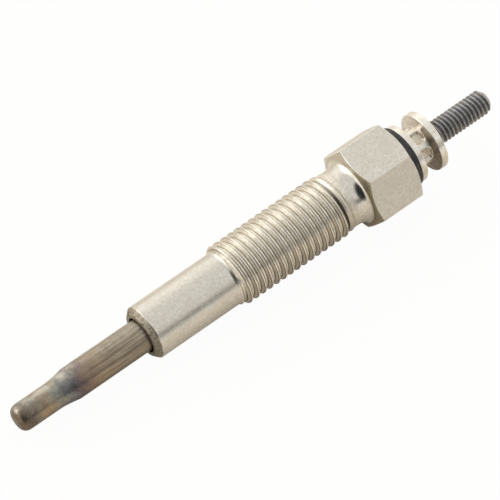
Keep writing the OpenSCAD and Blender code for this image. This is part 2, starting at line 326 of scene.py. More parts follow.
@dataclass(frozen=True)
class ScrewThread:
    """A right-handed rolled screw thread, in millimetres.

    Attributes:
        crest_r: Radius of the crests.
        depth: Depth of the grooves.
        pitch: Distance from crest to crest.
        low: Station where the thread starts.
        high: Station where the thread stops.
        low_r: Radius of the rod at the start.
        high_r: Radius of the rod at the stop.
        low_run: Length of the thread's start.
        high_run: Length of the thread's stop.
        low_end: How the thread starts.
        high_end: How the thread stops.
        crest_at: Station of a crest on the side where the profile is drawn.
        crest_flat: Width of a crest as a share of the pitch.
        root_flat: Width of a root as a share of the pitch.
        shoulder: Share of the flank that rounds into the crest.
        shoulder_steps: Faces along that rounding.
        reach: How deep a point of the thread may lie, in depths of a groove.
    """

    crest_r: float
    depth: float
    pitch: float
    low: float
    high: float
    low_r: float
    high_r: float
    low_run: float
    high_run: float
    low_end: ThreadEnd
    high_end: ThreadEnd
    crest_at: float
    crest_flat: float = 0.15
    root_flat: float = 0.16
    shoulder: float = 0.07
    shoulder_steps: int = 3
    reach: float = 1.05

    def outline(self) -> Profile:
        """Draws the thread's profile with rounded crests and flat roots, past both ends of the thread.

        Returns:
            The profile's points as radius and station.
        """
        crest = self.crest_flat / 2.0
        root = self.root_flat / 2.0
        half = []
        for step in range(self.shoulder_steps + 1):
            share = step / self.shoulder_steps
            sunk = self.shoulder * share ** 2
            half.append((crest - crest / 2.0 * (1.0 - share) ** 2 + (0.5 - root - crest) * sunk, sunk))
        half.append((0.5 - root, 1.0))
        tooth = [(-share, sunk) for share, sunk in reversed(half)] + half
        first = math.floor((self.low - self.crest_at) / self.pitch) - 2
        last = math.ceil((self.high - self.crest_at) / self.pitch) + 1
        points: Profile = []
        for turn in range(first, last + 1):
            for share, sunk in tooth:
                station = self.crest_at + (turn + share) * self.pitch
                points.append((self.crest_r - sunk * self.depth, station))
        return points

    def limit(self, station: float) -> float:
        """Gives the radius that the crests reach at a station.

        Args:
            station: The station along the axis.

        Returns:
            The radius in millimetres.
        """
        radius = self.crest_r
        if self.low_end is ThreadEnd.CHAMFER:
            rise = (station - self.low) / self.low_run
            radius = min(radius, self.low_r + (self.crest_r - self.low_r) * max(0.0, rise))
        if self.high_end is ThreadEnd.CHAMFER:
            rise = (self.high - station) / self.high_run
            radius = min(radius, self.high_r + (self.crest_r - self.high_r) * max(0.0, rise))
        return radius

    def settle(self, radius: float, station: float) -> tuple[float, float]:
        """Brings a point of the endless thread to where the real thread starts and stops.

        Args:
            radius: The point's radius on the endless thread.
            station: The point's station.

        Returns:
            The point's new radius and station.
        """
        if station <= self.low:
            return self.low_r, self.low
        if station >= self.high:
            return self.high_r, self.high
        radius = min(radius, self.limit(station))
        if self.low_end is ThreadEnd.FADE:
            share = ease(station, self.low, self.low + self.low_run)
            radius = self.low_r + (radius - self.low_r) * share
        if self.high_end is ThreadEnd.FADE:
            share = ease(station, self.high - self.high_run, self.high)
            radius = radius + (self.high_r - radius) * share
        return radius, station

    def build(self, name: str, steps: int = ROUND_STEPS) -> bpy.types.Object:
        """Winds the profile round the axis and trims its ends.

        Args:
            name: The new piece's name.
            steps: Faces round the axis.

        Returns:
            The thread as an open sleeve.
        """
        piece = Lathe.chain(name, self.outline())
        winding = piece.modifiers.new("Winding", "SCREW")
        winding.axis = "Z"
        winding.angle = FULL_TURN
        winding.screw_offset = self.pitch
        winding.steps = steps
        winding.render_steps = steps
        bpy.ops.object.modifier_apply(modifier=winding.name)
        for vertex in piece.data.vertices:
            radius = math.hypot(vertex.co.x, vertex.co.y)
            new_radius, vertex.co.z = self.settle(radius, vertex.co.z)
            vertex.co.x *= new_radius / radius
            vertex.co.y *= new_radius / radius
        Lathe.close(piece)
        return piece

    def mark_grooves(self, piece: bpy.types.Object) -> None:
        """Stores on a piece how deep each of its points lies in the thread's grooves.

        Args:
            piece: The piece that carries the thread, still on the bench.
        """
        layer = piece.data.attributes.new(GROOVE, "FLOAT", "POINT")
        for vertex in piece.data.vertices:
            radius = math.hypot(vertex.co.x, vertex.co.y)
            deepest = self.crest_r - self.depth * self.reach
            if self.low < vertex.co.z < self.high and radius > deepest:
                layer.data[vertex.index].value = max(0.0, self.limit(vertex.co.z) - radius) / self.depth


# Node work that the finishes share


class NodeBench:
    """Adds and links nodes in one node tree."""

    def __init__(self, tree: bpy.types.NodeTree) -> None:
        """Takes the tree to work on."""
        self.tree = tree

    def add(self, kind: str, **settings: object) -> bpy.types.Node:
        """Adds a node.

        Args:
            kind: The node's type.
            settings: Properties to set on it.

        Returns:
            The new node.
        """
        node = self.tree.nodes.new(kind)
        for key, value in settings.items():
            setattr(node, key, value)
        return node

    def feed(self, target: Socket, value: object) -> None:
        """Links a socket to an input, or sets a plain value on it.

        Args:
            target: The input.
            value: A socket, a number, a vector or a colour.
        """
        if isinstance(value, bpy.types.NodeSocket):
            self.tree.links.new(value, target)
        else:
            target.default_value = value

    def math(self, operation: str, first: object, *others: object) -> Socket:
        """Does one kind of sum, from left to right.

        Args:
            operation: The Math node's operation.
            first: The first number.
            others: The numbers after it.

        Returns:
            The result.
        """
        for other in others:
            node = self.add("ShaderNodeMath", operation=operation)
            self.feed(node.inputs[0], first)
            self.feed(node.inputs[1], other)
            first = node.outputs[0]
        return first

    def product(self, *factors: object) -> Socket:
        """Multiplies numbers."""
        return self.math("MULTIPLY", *factors)

    def total(self, *parts: object) -> Socket:
        """Adds numbers."""
        return self.math("ADD", *parts)

    def stretch(self, vector: Socket, across: object, along: object) -> Socket:
        """Scales a place across and along the upright axis.

        Args:
            vector: The place.
            across: Scale across the axis.
            along: Scale along the axis.

        Returns:
            The scaled place.
        """
        parts = self.add("ShaderNodeSeparateXYZ")
        self.feed(parts.inputs[0], vector)
        joined = self.add("ShaderNodeCombineXYZ")
        for index, scale in enumerate((across, across, along)):
            self.feed(joined.inputs[index], self.product(parts.outputs[index], scale))
        return joined.outputs[0]

    def spread(
        self, value: Socket, low: object, high: object, to_low: float = 0.0, to_high: float = 1.0,
    ) -> Socket:
        """Carries a range over to another range with soft ends.

        Args:
            value: The number to carry over.
            low: Start of its range.
            high: End of its range.
            to_low: Result at the start.
            to_high: Result at the end.

        Returns:
            The result, held inside the new range.
        """
        node = self.add("ShaderNodeMapRange", interpolation_type="SMOOTHSTEP")
        for index, number in enumerate((value, low, high, to_low, to_high)):
            self.feed(node.inputs[index], number)
        return node.outputs[0]

    def mix(self, share: object, first: object, second: object) -> Socket:
        """Mixes two colours.

        Args:
            share: Share of the second colour.
            first: The first colour.
            second: The second colour.

        Returns:
            The mixed colour.
        """
        node = self.add("ShaderNodeMix", data_type="RGBA")
        self.feed(node.inputs[0], share)
        self.feed(node.inputs[6], first)
        self.feed(node.inputs[7], second)
        return node.outputs[2]

    def bands(self, value: Socket, stops: tuple[tuple[float, Colour], ...], span: float) -> Socket:
        """Runs through a row of colours.

        Args:
            value: The place in the row.
            stops: Each colour with its place.
            span: The last place.

        Returns:
            The colour at that place.
        """
        node = self.add("ShaderNodeValToRGB")
        self.feed(node.inputs[0], self.math("DIVIDE", value, span))
        row = node.color_ramp.elements
        while len(row) < len(stops):
            row.new(1.0)
        for element, (place, colour) in zip(row, stops):
            element.position = place / span
            element.color = colour
        return node.outputs["Color"]

    def noise(self, vector: Socket, scale: object, detail: float, rough: float) -> Socket:
        """Adds a noise pattern.

        Args:
            vector: Where to look.
            scale: Waves to the millimetre.
            detail: Finer waves on top.
            rough: Strength of the finer waves.

        Returns:
            The pattern's height, about 0.5 in the middle.
        """
        node = self.add("ShaderNodeTexNoise")
        self.feed(node.inputs["Vector"], vector)
        self.feed(node.inputs["Scale"], scale)
        node.inputs["Detail"].default_value = detail
        node.inputs["Roughness"].default_value = rough
        return node.outputs["Fac"]


class SharedEffect:
    """An effect that several finishes use, kept as one node group.

    Attributes:
        title: The group's name.
        takes: Name and kind of each input.
        gives: Name of each output.
    """

    title = "effect"
    takes: tuple[tuple[str, str], ...] = ()
    gives: tuple[str, ...] = ()

    def __init__(self) -> None:
        """Builds the group once."""
        self.group = bpy.data.node_groups.new(self.title, "ShaderNodeTree")
        for name, kind in self.takes:
            self.group.interface.new_socket(name=name, in_out="INPUT", socket_type=kind)
        for name in self.gives:
            self.group.interface.new_socket(name=name, in_out="OUTPUT", socket_type="NodeSocketFloat")
        bench = NodeBench(self.group)
        entry = bench.add("NodeGroupInput")
        leave = bench.add("NodeGroupOutput")
        self.fill(bench, entry, leave)

    def fill(self, bench: NodeBench, entry: bpy.types.Node, leave: bpy.types.Node) -> None:
        """Puts the effect's nodes between the group's input and output.

        Args:
            bench: The group's bench.
            entry: The group's input.
            leave: The group's output.
        """
        raise NotImplementedError

    def place(self, recipe: "Recipe", **values: float) -> bpy.types.Node:
        """Places the effect in a material, on the plug's axis.

        Args:
            recipe: The material being made.
            values: A number for each other input, by name.

        Returns:
            The group node.
        """
        node = recipe.add("ShaderNodeGroup", node_tree=self.group)
        recipe.feed(node.inputs["Vector"], recipe.vector)
        for name, value in values.items():
            recipe.feed(node.inputs[name], value)
        return node


class Mottle(SharedEffect):
    """Cloudy patches with finer specks in them, as on plating and heated metal.

    Attributes:
        finer: How much finer the specks are than the patches.
        middle: Height of the noise at the patches' borders.
        speck_range: Heights of the noise at which specks start and are full.
    """

    finer = 7.0
    middle = 0.5
    speck_range = (0.3, 0.7)
    title = "mottle"
    takes = (("Vector", "NodeSocketVector"), ("Scale", "NodeSocketFloat"), ("Edge", "NodeSocketFloat"))
    gives = ("Mask", "Specks")

    def fill(self, bench: NodeBench, entry: bpy.types.Node, leave: bpy.types.Node) -> None:
        """Makes patches from a broad noise and specks from a fine one.

        Args:
            bench: The group's bench.
            entry: The group's input.
            leave: The group's output.
        """
        vector, scale, edge = (entry.outputs[name] for name in ("Vector", "Scale", "Edge"))
        broad = bench.noise(vector, scale, detail=4.0, rough=0.6)
        fine = bench.noise(vector, bench.product(scale, self.finer), detail=2.0, rough=0.5)
        low = bench.math("SUBTRACT", self.middle, edge)
        high = bench.total(self.middle, edge)
        bench.feed(leave.inputs["Mask"], bench.spread(broad, low, high))
        bench.feed(leave.inputs["Specks"], bench.spread(fine, *self.speck_range))


class TurnedRings(SharedEffect):
    """Fine rings that a turning tool leaves round a piece.

    Attributes:
        breaks: Waves to the millimetre across the axis, which break the rings up.
    """

    breaks = 0.06
    title = "turned rings"
    takes = (("Vector", "NodeSocketVector"), ("Rings", "NodeSocketFloat"))
    gives = ("Height",)

    def fill(self, bench: NodeBench, entry: bpy.types.Node, leave: bpy.types.Node) -> None:
        """Reads noise along the axis, and a little across it, so that the rings break up."""
        place = bench.stretch(entry.outputs["Vector"], self.breaks, entry.outputs["Rings"])
        bench.feed(leave.inputs["Height"], bench.noise(place, 1.0, detail=2.0, rough=0.6))


class DrawnLines(SharedEffect):
    """Long lines that drawing a tube through a die leaves along it.

    Attributes:
        breaks: Waves to the millimetre along the axis, which end the lines.
        line_range: Heights of the noise at which lines start and are full.
    """

    breaks = 0.12
    line_range = (0.42, 0.68)
    title = "drawn lines"
    takes = (("Vector", "NodeSocketVector"), ("Lines", "NodeSocketFloat"))
    gives = ("Mask", "Height")

    def fill(self, bench: NodeBench, entry: bpy.types.Node, leave: bpy.types.Node) -> None:
        """Reads noise across the axis that hardly changes along it.

        Args:
            bench: The group's bench.
            entry: The group's input.
            leave: The group's output.
        """
        place = bench.stretch(entry.outputs["Vector"], entry.outputs["Lines"], self.breaks)
        lines = bench.noise(place, 1.0, detail=2.0, rough=0.55)
        bench.feed(leave.inputs["Mask"], bench.spread(lines, *self.line_range))
        bench.feed(leave.inputs["Height"], lines)


@dataclass
class EffectShelf:
    """The shared effects, built once.

    Attributes:
        mottle: Cloudy patches.
        rings: Turning marks.
        lines: Drawing marks.
    """

    mottle: Mottle
    rings: TurnedRings
    lines: DrawnLines

    @classmethod
    def stock(cls) -> "EffectShelf":
        """Builds every shared effect."""
        return cls(Mottle(), TurnedRings(), DrawnLines())


class Recipe(NodeBench):
    """A material while its nodes are put together, in millimetres, with the plug's axis upright.

    Attributes:
        lit_across: How much of the way across the plug counts towards its lit side, the side that faces the
            lamp and the back wall.
        lit_down: How much of the way down counts away from it.
    """

    lit_across = 0.75
    lit_down = 0.65

    def __init__(self, name: str, axis: PlugAxis) -> None:
        """Starts a material.

        Args:
            name: The material's name.
            axis: The plug's axis.
        """
        self.material = bpy.data.materials.new(name)
        self.material.use_nodes = True
        super().__init__(self.material.node_tree)
        self.shader = self.tree.nodes["Principled BSDF"]
        place = self.add("ShaderNodeMapping", vector_type="TEXTURE")
        place.inputs["Location"].default_value = axis.tip
        place.inputs["Rotation"].default_value = (0.0, axis.turn, 0.0)
        place.inputs["Scale"].default_value = (MM, MM, MM)
        self.feed(place.inputs["Vector"], self.add("ShaderNodeTexCoord").outputs["Object"])
        self.vector = place.outputs["Vector"]
        parts = self.add("ShaderNodeSeparateXYZ")
        self.feed(parts.inputs[0], self.vector)
        self.down, self.across, self.along = parts.outputs

    def lit_side(self) -> Socket:
        """Gives how far a point lies towards the side that faces the lamp and the back wall, in
        millimetres, for painted light and shade.
        """
        sideways = self.product(self.across, self.lit_across)
        return self.math("SUBTRACT", sideways, self.product(self.down, self.lit_down))

    def off_axis(self) -> Socket:
        """Gives the distance from the plug's axis in millimetres."""
        squares = [self.product(part, part) for part in (self.down, self.across)]
        return self.math("POWER", self.total(*squares), 0.5)

    def reading(self, name: str) -> Socket:
        """Reads a value that the piece's mesh carries."""
        return self.add("ShaderNodeAttribute", attribute_name=name).outputs["Fac"]

    def set(self, **values: object) -> None:
        """Sets or links inputs of the shader.

        Args:
            values: A socket or plain value for each input, spaces in its name written as underscores.
        """
        for name, value in values.items():
            self.feed(self.shader.inputs[name.replace("_", " ")], value)

    def bump(self, height: Socket, depth: float, strength: float) -> None:
        """Adds a fine relief to the surface.

        Args:
            height: The relief's pattern.
            depth: Its depth in millimetres.
            strength: How much of it shows.
        """
        node = self.add("ShaderNodeBump")
        node.inputs["Strength"].default_value = strength
        node.inputs["Distance"].default_value = depth * MM
        self.feed(node.inputs["Height"], height)
        self.set(Normal=node.outputs["Normal"])


# Finishes


@dataclass(frozen=True)
class NickelPlate:
    """Nickel plating of the housing: shiny where turned, satin on the flats, with painted light and shade
    on the thread, the seat, the mouth and the hexagon.

    Attributes:
        bright: Clean plating.
        dull: Clouded plating, also laid along the thread's edge towards the lamp as painted shade.
        warm: Plating on the thread, painted brighter than the nose's to make up for the shade in its
            grooves.
        rust_and_shade: Brown of worn plating in specks, also laid on the thread's flanks away from the lamp
            as painted shade.
        root: Dark tone of the painted shade lines along the thread's flanks, and of the pits in the seat.
        seat: Bare, brown-grey sealing seat, its tone darkened further as painted shade.
        mouth_shade: Painted shade in the gap between the nose's mouth and the sheath.
        face: Painted brown reflection on the hexagon's front face.
        edge: Rubbed edges of the hexagon, painted brighter as a highlight.
        mouth_r: Radius that the painted mouth shade reaches.
        mouth_end: Station where the painted mouth shade ends.
        seat_end: Station where the sealing seat ends.
        nose_end: Station where the plain nose ends.
        thread_end: Station where the thread has nearly run out.
        hex_front: Station of the hexagon's front face.
        soft: Half the width of the border between nose and thread.
        rough: Least and most roughness of the turned plating.
        satin_rough: Roughness added on the hexagon.
        nose_rough: Roughness added on the nose.
        seat_rough: Roughness added on the seat.
        thread_rough: Roughness added on the thread.
        run_out_rough: Roughness added where the thread runs out.
        neck_polish: Roughness taken from the neck.
        relief: Depth of the turning marks and the sanded grain in millimetres.
    """

    bright: Colour = screen_colour(228, 224, 215)
    dull: Colour = screen_colour(200, 193, 178)
    warm: Colour = screen_colour(254, 247, 232)
    rust_and_shade: Colour = screen_colour(140, 120, 94)
    root: Colour = screen_colour(48, 40, 29)
    seat: Colour = screen_colour(151, 141, 124)
    mouth_shade: Colour = screen_colour(41, 36, 31)
    face: Colour = screen_colour(142, 131, 108)
    edge: Colour = screen_colour(240, 237, 228)
    mouth_r: float = 2.88
    mouth_end: float = 23.5
    seat_end: float = 22.6
    nose_end: float = 36.65
    thread_end: float = 57.6
    hex_front: float = 59.95
    soft: float = 0.2
    rough: Range = (0.2, 0.3)
    satin_rough: float = 0.16
    nose_rough: float = 0.05
    seat_rough: float = 0.25
    thread_rough: float = 0.1
    run_out_rough: float = 0.12
    neck_polish: float = 0.08
    relief: float = 0.012

    def on_seat(self, recipe: Recipe, share: float) -> Socket:
        """Gives a share on the sealing seat and nothing past it."""
        return recipe.spread(recipe.along, self.seat_end - 0.12, self.seat_end + 0.1, share, 0.0)

    def soil_and_shade(self, recipe: Recipe, tone: Socket, groove: Socket, specks: Socket) -> Socket:
        """Lays painted shade along the thread's grooves, on the seat and in the mouth's gap, and a painted
        reflection on the hexagon's front face, together with the seat's bare tone and pits.

        Args:
            recipe: The material being made.
            tone: The plating's colour.
            groove: Depth in the thread's grooves.
            specks: Specks on the seat.

        Returns:
            The colour with its painted shade.
        """
        # Painted shade: dark lines along the thread's flanks, at the brow by the crest and at the foot by
        # the root, weaker on the lit side and where the thread runs out.
        foot = recipe.spread(groove, 0.965, 0.995, 0.95, 0.0)
        foot = recipe.product(foot, recipe.spread(groove, 0.78, 0.89))
        brow = recipe.spread(groove, 0.17, 0.26, 0.95, 0.0)
        brow = recipe.product(brow, recipe.spread(groove, 0.04, 0.08))
        low_side = recipe.spread(recipe.lit_side(), 1.2, 3.6, 1.0, 0.5)
        run_out = recipe.spread(recipe.along, self.thread_end - 1.6, self.thread_end - 0.4, 1.0, 0.0)
        lines = recipe.product(recipe.total(foot, brow), low_side, run_out)
        tone = recipe.mix(lines, tone, self.root)
        # The seat's bare tone, darkened further as painted shade; its dark pits follow.
        on_seat = self.on_seat(recipe, 0.9)
        tone = recipe.mix(on_seat, tone, self.seat)
        pitted = recipe.product(on_seat, recipe.spread(specks, 0.4, 0.9, 0.0, 0.55))
        tone = recipe.mix(pitted, tone, self.root)
        # Painted shade in the gap round the sheath, inside the nose's mouth.
        in_bore = recipe.spread(recipe.off_axis(), self.mouth_r - 0.03, self.mouth_r, 1.0, 0.0)
        near_mouth = recipe.spread(recipe.along, self.mouth_end, self.mouth_end + 0.2, 1.0, 0.0)
        tone = recipe.mix(recipe.product(in_bore, near_mouth), tone, self.mouth_shade)
        # Painted reflection: the hexagon's front face and chamfer are browned, less so on the side towards
        # the lamp.
        from_front = recipe.spread(recipe.along, self.hex_front - 0.15, self.hex_front)
        to_corner = recipe.spread(recipe.along, self.hex_front + 0.7, self.hex_front + 0.8, 1.0, 0.0)
        off_flats = recipe.math("SUBTRACT", 0.85, recipe.reading(FLAT))
        lit_side_fade = recipe.spread(recipe.lit_side(), 2.4, 5.2, 1.0, 0.35)
        on_face = recipe.product(from_front, to_corner, off_flats, lit_side_fade)
        return recipe.mix(on_face, tone, self.face)

    def tone(self, recipe: Recipe, clouds: bpy.types.Node, grain: bpy.types.Node, groove: Socket) -> Socket:
        """Mixes the plating's colour, with painted light and shade on the thread and a painted highlight on
        the hexagon's edges.

        Args:
            recipe: The material being made.
            clouds: Broad patches.
            grain: Fine patches.
            groove: Depth in the thread's grooves.

        Returns:
            The colour.
        """
        past_nose = recipe.spread(recipe.along, self.nose_end - self.soft, self.nose_end + self.soft)
        on_thread = recipe.spread(recipe.along, self.thread_end - 0.5, self.thread_end + 0.5, 0.8, 0.0)
        on_thread = recipe.product(on_thread, past_nose)
        # Painted light: the thread's plating is brighter than the nose's, to make up for the shade in its
        # grooves.
        tone = recipe.mix(on_thread, self.bright, self.warm)
        # Painted shade: the rust brown darkens the thread's flanks on the side away from the lamp.
        lower_side_shade = recipe.spread(recipe.lit_side(), -4.0, 1.0, 0.5, 0.0)
        off_crest = recipe.spread(groove, 0.0, 0.05)
        off_root = recipe.spread(groove, 0.96, 0.995, 1.0, 0.0)
        tone = recipe.mix(recipe.product(on_thread, lower_side_shade, off_crest, off_root), tone, self.rust_and_shade)
        # Painted shade: the thread's edge towards the lamp is dulled.
        upper_edge_shade = recipe.spread(recipe.lit_side(), 3.0, 4.8, 0.0, 0.45)
        tone = recipe.mix(recipe.product(on_thread, upper_edge_shade), tone, self.dull)
        tone = recipe.mix(recipe.product(clouds.outputs["Mask"], 0.25), tone, self.dull)
        tone = recipe.mix(recipe.product(grain.outputs["Mask"], 0.55), tone, self.dull)
        rusty = recipe.spread(grain.outputs["Specks"], 0.72, 1.0, 0.0, 0.55)
        rusty = recipe.product(rusty, recipe.spread(clouds.outputs["Specks"], 0.3, 0.7, 0.25, 1.0))
        tone = recipe.mix(rusty, tone, self.rust_and_shade)
        tone = self.soil_and_shade(recipe, tone, groove, grain.outputs["Mask"])
        # Painted highlight along the hexagon's rubbed edges.
        return recipe.mix(recipe.product(recipe.reading(EDGE), 0.6), tone, self.edge)

    def material(self, axis: PlugAxis, shelf: EffectShelf) -> bpy.types.Material:
        """Builds the finish.

        Args:
            axis: The plug's axis.
            shelf: The shared effects.

        Returns:
            The material.
        """
        recipe = Recipe("nickel_plate", axis)
        clouds = shelf.mottle.place(recipe, Scale=0.4, Edge=0.25)
        grain = shelf.mottle.place(recipe, Scale=2.2, Edge=0.18)
        rings = shelf.rings.place(recipe, Rings=7.0)
        groove = recipe.reading(GROOVE)
        satin = recipe.reading(FLAT)
        edges = recipe.reading(EDGE)
        on_hexagon = recipe.math("MAXIMUM", satin, edges)
        on_nose = recipe.spread(
            recipe.along, self.nose_end - self.soft, self.nose_end + self.soft, 1.0, 0.0)
        past_lead = recipe.spread(recipe.along, self.nose_end + 0.9, self.nose_end + 1.4)
        before_neck = recipe.spread(recipe.along, self.thread_end, self.thread_end + 0.8, 1.0, 0.0)
        run_out = recipe.spread(
            recipe.along, self.thread_end - 2.4, self.thread_end - 1.0, 0.0, self.run_out_rough)
        on_neck = recipe.math("SUBTRACT", 1.0, recipe.math("MAXIMUM", before_neck, on_hexagon))
        rough = recipe.total(
            recipe.spread(grain.outputs["Specks"], 0.0, 1.0, *self.rough),
            recipe.product(on_hexagon, self.satin_rough),
            recipe.product(on_nose, self.nose_rough),
            self.on_seat(recipe, self.seat_rough),
            recipe.product(before_neck, past_lead, self.thread_rough),
            recipe.product(run_out, before_neck),
            recipe.product(on_neck, -self.neck_polish),
        )
        marks = recipe.product(rings.outputs["Height"], recipe.total(on_nose, 0.1))
        sand = recipe.product(grain.outputs["Specks"], recipe.total(satin, 0.35))
        tone = self.tone(recipe, clouds, grain, groove)
        metal = recipe.spread(edges, 0.0, 1.0, 1.0, 0.45)
        recipe.set(Base_Color=tone, Roughness=rough, Metallic=metal)
        recipe.bump(recipe.total(marks, sand), self.relief, strength=0.5)
        return recipe.material


@dataclass(frozen=True)
class TintedAlloy:
    """Heat-proof alloy of the sheath: bands of heat tint along it, drawn lines towards the housing.

    Attributes:
        tints: The heat tints, each with its station.
        last: Station of the last tint.
        light: Bright drawn lines.
        pale: Paler tone on the tip's side towards the lamp, a painted light.
        scorch: Burnt patches, flecks and dark drawn lines.
        taper_end: Station where the thin tip has widened to the full tube.
        rough: Least and most roughness.
        relief: Depth of the drawn lines and pits in millimetres.
    """

    tints: tuple[tuple[float, Colour], ...] = (
        (0.0, screen_colour(132, 118, 98)),
        (1.5, screen_colour(122, 108, 99)),
        (2.9, screen_colour(150, 143, 126)),
        (4.7, screen_colour(174, 152, 124)),
        (6.7, screen_colour(161, 162, 148)),
        (8.2, screen_colour(130, 130, 132)),
        (9.7, screen_colour(111, 104, 107)),
        (11.2, screen_colour(136, 115, 106)),
        (13.6, screen_colour(157, 137, 110)),
        (16.5, screen_colour(157, 143, 121)),
        (23.0, screen_colour(166, 154, 135)),
    )
    last: float = 23.0
    light: Colour = screen_colour(206, 192, 170)
    pale: Colour = screen_colour(218, 213, 198)
    scorch: Colour = screen_colour(77, 68, 61)
    taper_end: float = 9.5
    rough: Range = (0.3, 0.46)
    relief: float = 0.018

    def material(self, axis: PlugAxis, shelf: EffectShelf) -> bpy.types.Material:
        """Builds the finish.

        Args:
            axis: The plug's axis.
            shelf: The shared effects.

        Returns:
            The material.
        """
        recipe = Recipe("tinted_alloy", axis)
        lines = shelf.lines.place(recipe, Lines=5.0)
        hairs = shelf.lines.place(recipe, Lines=11.0)
        clouds = shelf.mottle.place(recipe, Scale=0.55, Edge=0.2)
        stains = shelf.mottle.place(recipe, Scale=0.9, Edge=0.2)
        drift = recipe.spread(clouds.outputs["Mask"], 0.0, 1.0, -0.9, 0.9)
        tone = recipe.bands(recipe.total(recipe.along, drift), self.tints, self.last)
        lit_side = recipe.spread(recipe.lit_side(), 0.7, 2.3)
        near_nose = recipe.spread(recipe.along, self.taper_end, self.taper_end + 8.0, 0.0, 0.7)
        tone = recipe.mix(recipe.product(lines.outputs["Mask"], near_nose), tone, self.light)
        tone = recipe.mix(recipe.product(hairs.outputs["Mask"], near_nose, 0.95), tone, self.scorch)
        on_tip = recipe.spread(recipe.along, self.taper_end, self.taper_end + 2.0, 0.75, 0.3)
        patchy = recipe.spread(stains.outputs["Mask"], 0.0, 1.0, 1.0, 0.55)
        # Painted light: the tip is paler on its side towards the lamp.
        tone = recipe.mix(recipe.product(lit_side, on_tip, patchy), tone, self.pale)
        tone = recipe.mix(recipe.product(stains.outputs["Mask"], on_tip, 0.42), tone, self.scorch)
        flecks = recipe.spread(recipe.along, 0.5, 4.0, 0.55, 0.2)
        tone = recipe.mix(recipe.product(stains.outputs["Specks"], flecks), tone, self.scorch)
        rough = recipe.spread(stains.outputs["Specks"], 0.0, 1.0, *self.rough)
        recipe.set(Base_Color=tone, Roughness=rough, Metallic=0.9)
        pits = recipe.product(stains.outputs["Specks"], 0.5)
        recipe.bump(recipe.total(lines.outputs["Height"], pits), self.relief, strength=0.6)
        return recipe.material


@dataclass(frozen=True)
class DarkSteel:
    """Dark, oiled steel of the stud, worn brighter along its crests.

    Attributes:
        dark: The oxide.
        grey: Rubbed oxide.
        worn: Bright crests.
        rough: Least and most roughness.
        relief: Depth of the oxide's grain in millimetres.
    """

    dark: Colour = screen_colour(123, 122, 124)
    grey: Colour = screen_colour(142, 141, 141)
    worn: Colour = screen_colour(196, 194, 190)
    rough: Range = (0.32, 0.48)
    relief: float = 0.008

    def material(self, axis: PlugAxis, shelf: EffectShelf) -> bpy.types.Material:
        """Builds the finish.

        Args:
            axis: The plug's axis.
            shelf: The shared effects.

        Returns:
            The material.
        """
        recipe = Recipe("dark_steel", axis)
        clouds = shelf.mottle.place(recipe, Scale=0.8, Edge=0.15)
        tone = recipe.mix(clouds.outputs["Mask"], self.dark, self.grey)
        crest = recipe.spread(recipe.reading(GROOVE), 0.01, 0.12, 0.85, 0.0)
        rubbed = recipe.product(crest, recipe.spread(clouds.outputs["Specks"], 0.0, 1.0, 0.5, 1.0))
        tone = recipe.mix(rubbed, tone, self.worn)
        rough = recipe.spread(clouds.outputs["Specks"], 0.0, 1.0, *self.rough)
        recipe.set(Base_Color=tone, Roughness=rough, Metallic=0.9)
        recipe.bump(clouds.outputs["Specks"], self.relief, strength=0.4)
        return recipe.material


@dataclass(frozen=True)
class CollarPlate:
    """Bright, warm plating of the terminal collar.

    Attributes:
        bright: Clean plating.
        warm: Handled plating.
        pressed: Plating under the crimping tool.
        crease_shade: Painted brown shade round the crimps and in the corner under the flange.
        waist_top: Station of the corner under the flange.
        rough: Least and most roughness.
        relief: Depth of the turning marks in millimetres.
    """

    bright: Colour = screen_colour(246, 243, 236)
    warm: Colour = screen_colour(226, 216, 198)
    pressed: Colour = screen_colour(196, 180, 155)
    crease_shade: Colour = screen_colour(104, 87, 72)
    waist_top: float = 73.12
    rough: Range = (0.26, 0.34)
    relief: float = 0.004

    def material(self, axis: PlugAxis, shelf: EffectShelf) -> bpy.types.Material:
        """Builds the finish.

        Args:
            axis: The plug's axis.
            shelf: The shared effects.

        Returns:
            The material.
        """
        recipe = Recipe("collar_plate", axis)
        clouds = shelf.mottle.place(recipe, Scale=0.5, Edge=0.18)
        rings = shelf.rings.place(recipe, Rings=9.0)
        tone = recipe.mix(clouds.outputs["Mask"], self.bright, self.warm)
        pressed = recipe.reading(CRIMP)
        tone = recipe.mix(recipe.product(pressed, 0.55), tone, self.pressed)
        # Painted shade in the creases round the crimp pads.
        border = recipe.product(pressed, recipe.math("SUBTRACT", 1.0, pressed))
        patchy = recipe.spread(clouds.outputs["Mask"], 0.0, 1.0, 0.2, 1.6)
        tone = recipe.mix(recipe.product(border, patchy), tone, self.crease_shade)
        # Painted shade in the corner under the flange, weaker on the side towards the lamp.
        corner = recipe.spread(recipe.along, self.waist_top - 0.32, self.waist_top - 0.05, 0.0, 0.75)
        under_rim = recipe.spread(recipe.along, self.waist_top + 0.16, self.waist_top + 0.24, 1.0, 0.0)
        rubbed = recipe.spread(recipe.lit_side(), 0.5, 3.0, 1.0, 0.35)
        tone = recipe.mix(recipe.product(corner, under_rim, rubbed), tone, self.crease_shade)
        rough = recipe.spread(clouds.outputs["Specks"], 0.0, 1.0, *self.rough)
        recipe.set(Base_Color=tone, Roughness=rough, Metallic=0.8)
        recipe.bump(rings.outputs["Height"], self.relief, strength=0.3)
        return recipe.material


